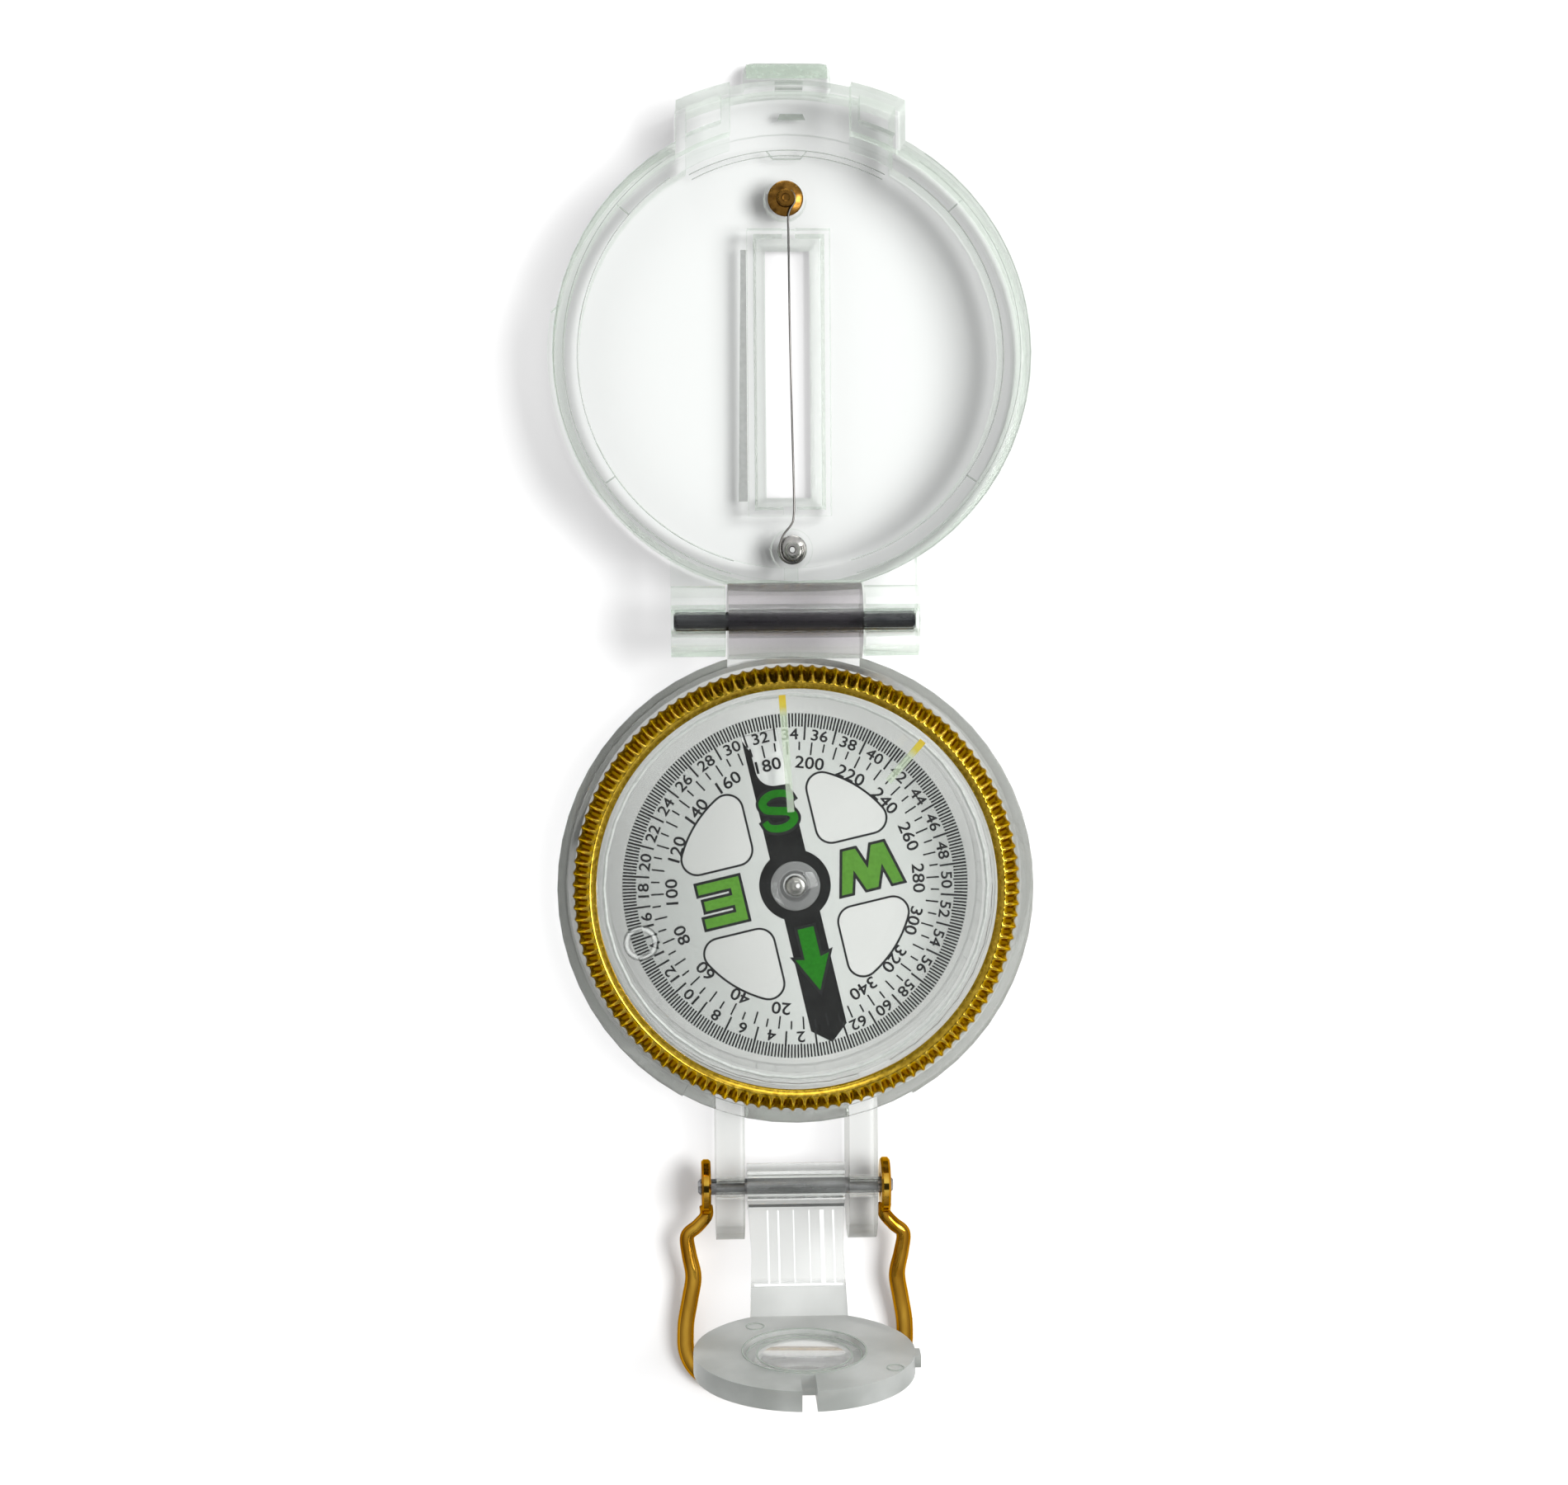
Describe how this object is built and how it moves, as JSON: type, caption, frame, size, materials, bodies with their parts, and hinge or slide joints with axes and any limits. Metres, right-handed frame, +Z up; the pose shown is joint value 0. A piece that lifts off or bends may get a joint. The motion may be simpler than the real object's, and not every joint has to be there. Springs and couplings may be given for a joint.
{
  "type": "lensatic compass",
  "caption": "Clear folding lensatic compass, opened flat: liquid capsule with turning dial, toothed bezel, hinged sighting lid, folding eyepiece and thumb loop.",
  "frame": {"origin": "centre of the case's flat underside, under the dial's pivot", "axes": "+Z up through the dial's pivot, +Y towards the opened lid, +X to the right when looking down with the lid away"},
  "size_m": [0.0556, 0.1588, 0.0365],
  "materials": {
    "clear_plastic": "clear, with a faint grey-green tint, polished",
    "frosted_plastic": "clear, slightly frosted by the mould",
    "lens": "polished",
    "dial_milky": "clear card, slightly milky, with printed scales",
    "needle_black": "satin black",
    "luminous_green": "luminous paint",
    "gasket_rubber": "translucent grey",
    "gold_metal": "bright gold plating",
    "brass": "plain brass",
    "steel": "bright drawn steel"
  },
  "bodies": {
    "base": {"base_case": "clear_plastic", "capsule_cup": "clear_plastic", "capsule_window": "clear_plastic", "capsule_gasket": "gasket_rubber", "pivot_post": "brass", "bezel_retaining_ring": "steel", "bezel_click_spring": "steel", "lid_hinge_pin": "steel", "eyepiece_pin": "steel"},
    "bezel": {"bezel_ring": "gold_metal", "bezel_crystal": "clear_plastic", "crystal_snap_ring": "clear_plastic", "sighting_line_long": "luminous_green", "sighting_line_short": "luminous_green"},
    "dial": {"dial_card": "dial_milky", "compass_needle": "needle_black", "jewel_cup": "clear_plastic"},
    "lid": {"lid_shell": "clear_plastic", "sighting_wire": "steel", "wire_rivet_far": "brass", "wire_rivet_near": "steel"},
    "eyepiece": {"eyepiece_bracket": "frosted_plastic", "eyepiece_lens": "lens"},
    "loop": {"thumb_loop": "gold_metal"}
  },
  "joints": [
    {"name": "lid_hinge", "type": "hinge", "parent": "base", "child": "lid", "pos_m": [0, 0.031, 0.013], "axis": [1, 0, 0], "range_deg": [0, 180]},
    {"name": "eyepiece_fold", "type": "hinge", "parent": "base", "child": "eyepiece", "pos_m": [0, -0.0362, 0.0052], "axis": [-1, 0, 0], "range_deg": [0, 98]},
    {"name": "thumb_loop_swing", "type": "hinge", "parent": "eyepiece", "child": "loop", "pos_m": [0, -0.0362, 0.0052], "axis": [-1, 0, 0], "range_deg": [-98, 12]},
    {"name": "bezel_turn", "type": "hinge", "parent": "base", "child": "bezel", "pos_m": [0, 0, 0.0129], "axis": [0, 0, 1], "continuous": true},
    {"name": "dial_turn", "type": "hinge", "parent": "base", "child": "dial", "pos_m": [0, 0, 0.0098], "axis": [0, 0, 1], "continuous": true}
  ]
}
